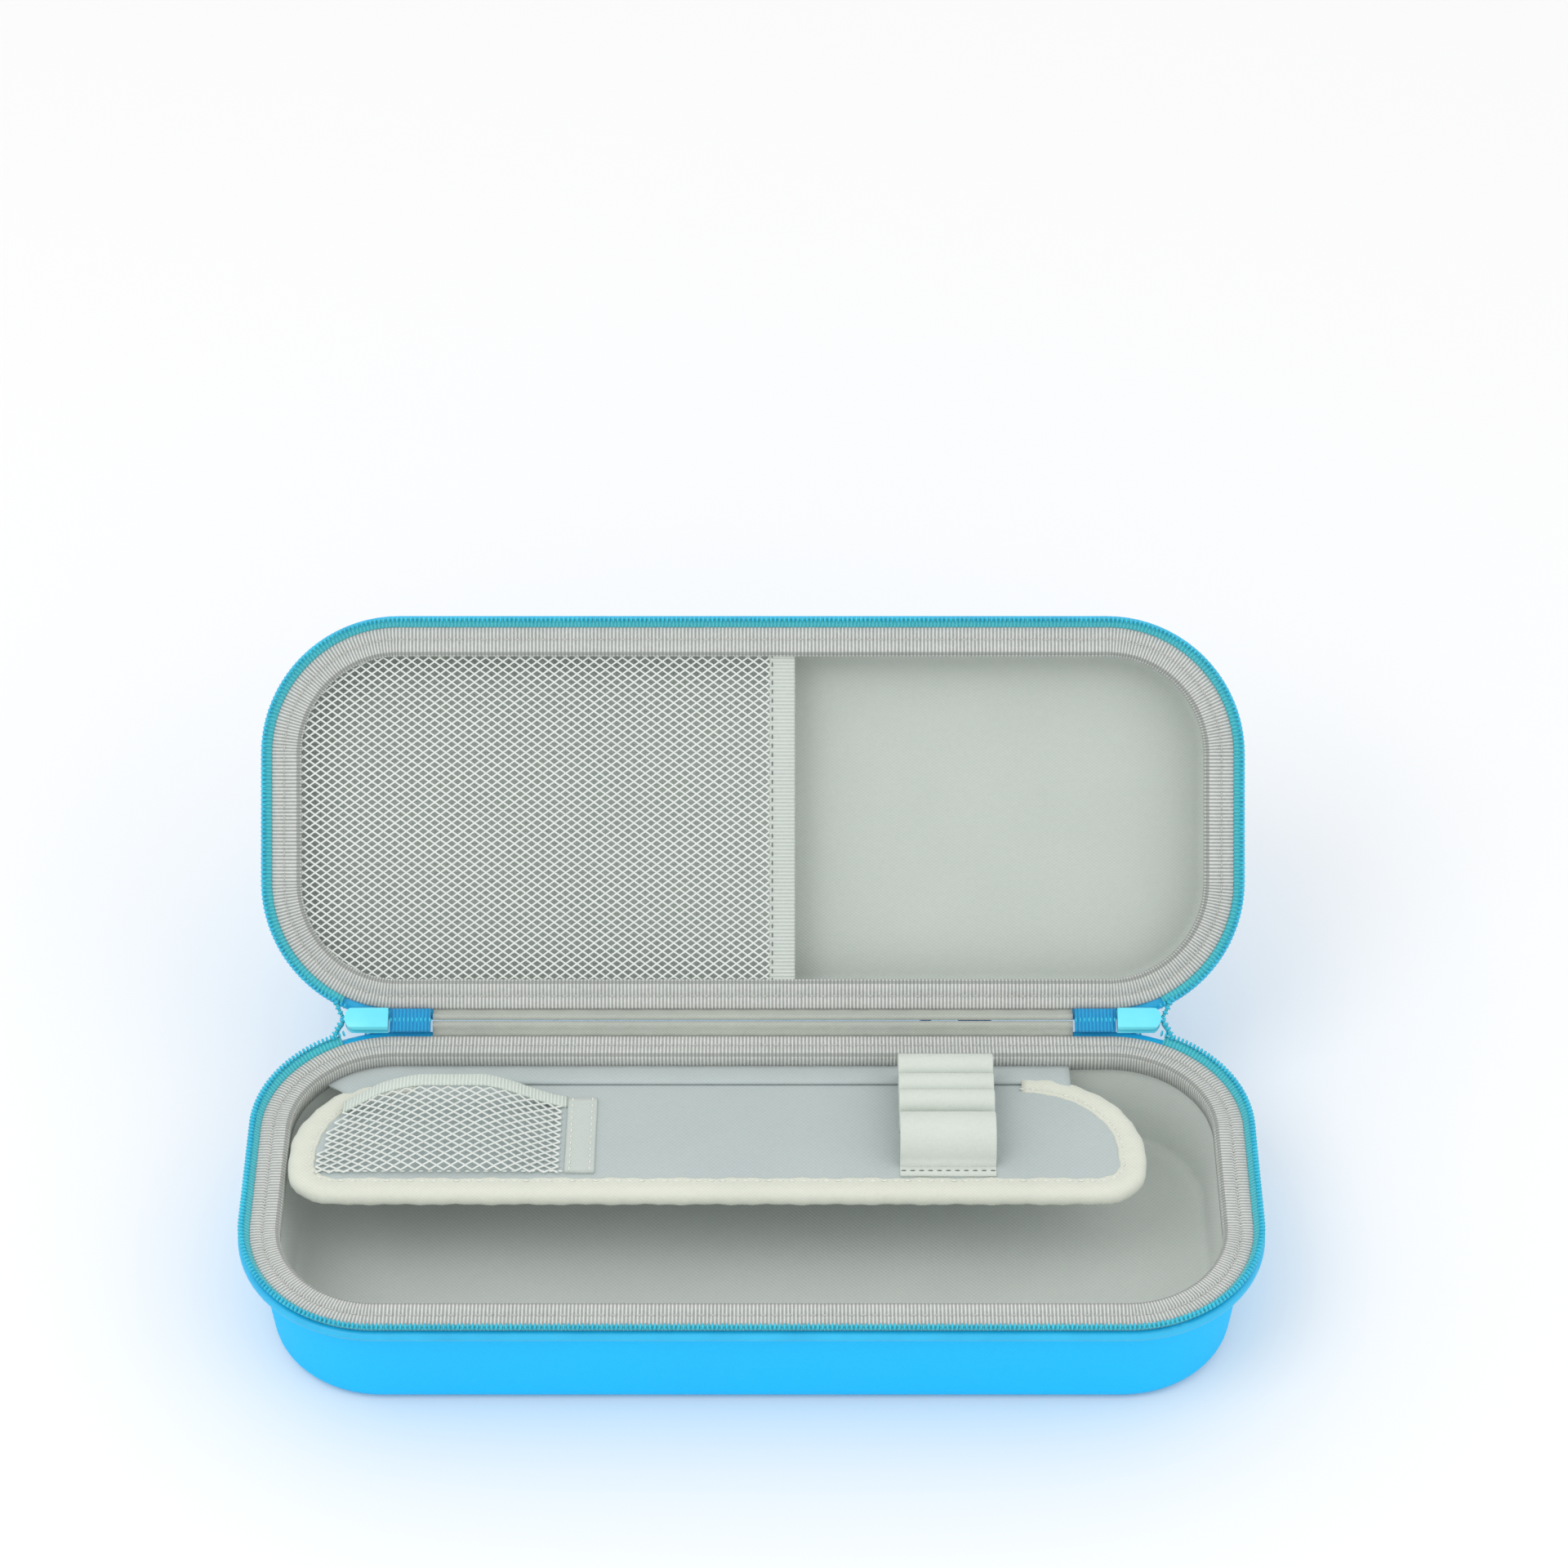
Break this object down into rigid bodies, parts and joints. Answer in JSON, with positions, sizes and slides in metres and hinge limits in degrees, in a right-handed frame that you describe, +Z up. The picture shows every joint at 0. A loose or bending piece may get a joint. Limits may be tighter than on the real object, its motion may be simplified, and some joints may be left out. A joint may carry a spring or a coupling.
{
  "type": "stethoscope hard case",
  "caption": "Zippered hard-shell case with a hinged lid, lid net, padded flap with pocket and pen loops, and a wrist strap.",
  "frame": {"origin": "middle of the base shell's flat underside, on the surface that the case stands on", "axes": "+X along the case to its right end, +Y towards the hinge strip, +Z up"},
  "size_m": [0.285, 0.2059, 0.1267],
  "materials": {
    "blue_shell": "satin",
    "blue_trim": "satin",
    "grey_lining": "matte",
    "grey_binding": "matte",
    "zipper_tape": "matte",
    "zipper_coil": "satin",
    "blue_webbing": "matte",
    "pale_net": "matte",
    "pale_trim": "matte",
    "pale_elastic": "matte",
    "flap_cloth": "matte",
    "stiffener": "matte",
    "slider_enamel": "gloss",
    "grip_plastic": "satin"
  },
  "bodies": {
    "base": {"base_shell": "blue_shell", "base_lining": "grey_lining", "base_rim_piping": "blue_trim", "base_binding_tape": "grey_binding", "base_zipper_tape": "zipper_tape", "base_zipper_coil": "zipper_coil", "flap_hinge_tape": "grey_lining", "base_strip_outer": "blue_trim", "base_strip_lining": "grey_lining", "strap_tab": "blue_webbing"},
    "strip": {"joined_zipper_left": "zipper_tape", "joined_zipper_right": "zipper_tape"},
    "lid": {"lid_shell": "blue_shell", "lid_lining": "grey_lining", "lid_rim_piping": "blue_trim", "lid_binding_tape": "grey_binding", "lid_zipper_tape": "zipper_tape", "lid_zipper_coil": "zipper_coil", "lid_mesh_pocket": "pale_net", "lid_pocket_band": "pale_trim", "lid_strip_outer": "blue_trim", "lid_strip_lining": "grey_lining"},
    "flap": {"flap_cover_top": "flap_cloth", "flap_stiffener": "stiffener", "flap_cover_bottom": "flap_cloth", "flap_edge_binding": "pale_trim", "flap_mesh_pocket": "pale_net", "flap_pocket_elastic": "pale_elastic", "flap_seam_tape": "pale_trim", "pen_loops": "pale_elastic"},
    "slider_left": {"slider_left": "slider_enamel"},
    "slider_right": {"slider_right": "slider_enamel"},
    "pull_left": {"link_left": "slider_enamel", "grip_left": "grip_plastic"},
    "pull_right": {"link_right": "slider_enamel", "grip_right": "grip_plastic"},
    "strap": {"wrist_strap": "blue_webbing"}
  },
  "joints": [
    {"name": "lid_fold", "type": "hinge", "parent": "base", "child": "lid", "pos_m": [0, 0.0584, 0.0405], "axis": [-1, 0, 0], "range_deg": [-132, 4]},
    {"name": "strip_fold", "type": "hinge", "parent": "base", "child": "strip", "pos_m": [0, 0.0584, 0.0405], "axis": [-1, 0, 0], "range_deg": [-66, 2]},
    {"name": "flap_lift", "type": "hinge", "parent": "base", "child": "flap", "pos_m": [0, 0.0436, 0.0325], "axis": [-1, 0, 0], "range_deg": [-6, 45]},
    {"name": "slider_left_run", "type": "slide", "parent": "strip", "child": "slider_left", "axis": [1, 0, 0], "range_m": [0, 0.01]},
    {"name": "slider_right_run", "type": "slide", "parent": "strip", "child": "slider_right", "axis": [-1, 0, 0], "range_m": [0, 0.01]},
    {"name": "pull_left_swing", "type": "hinge", "parent": "slider_left", "child": "pull_left", "pos_m": [-0.1115, 0.06017, 0.03653], "axis": [0, -0.9135, -0.4067], "range_deg": [-80, 50]},
    {"name": "pull_right_swing", "type": "hinge", "parent": "slider_right", "child": "pull_right", "pos_m": [0.1115, 0.06017, 0.03653], "axis": [0, 0.9135, 0.4067], "range_deg": [-80, 50]},
    {"name": "strap_swing", "type": "hinge", "parent": "base", "child": "strap", "pos_m": [0.088, 0.0554, 0.02], "axis": [0, 0, 1], "range_deg": [-60, 25]}
  ],
  "couplings": [
    {"joint": "strip_fold", "follows": "lid_fold", "ratio": 0.5}
  ]
}
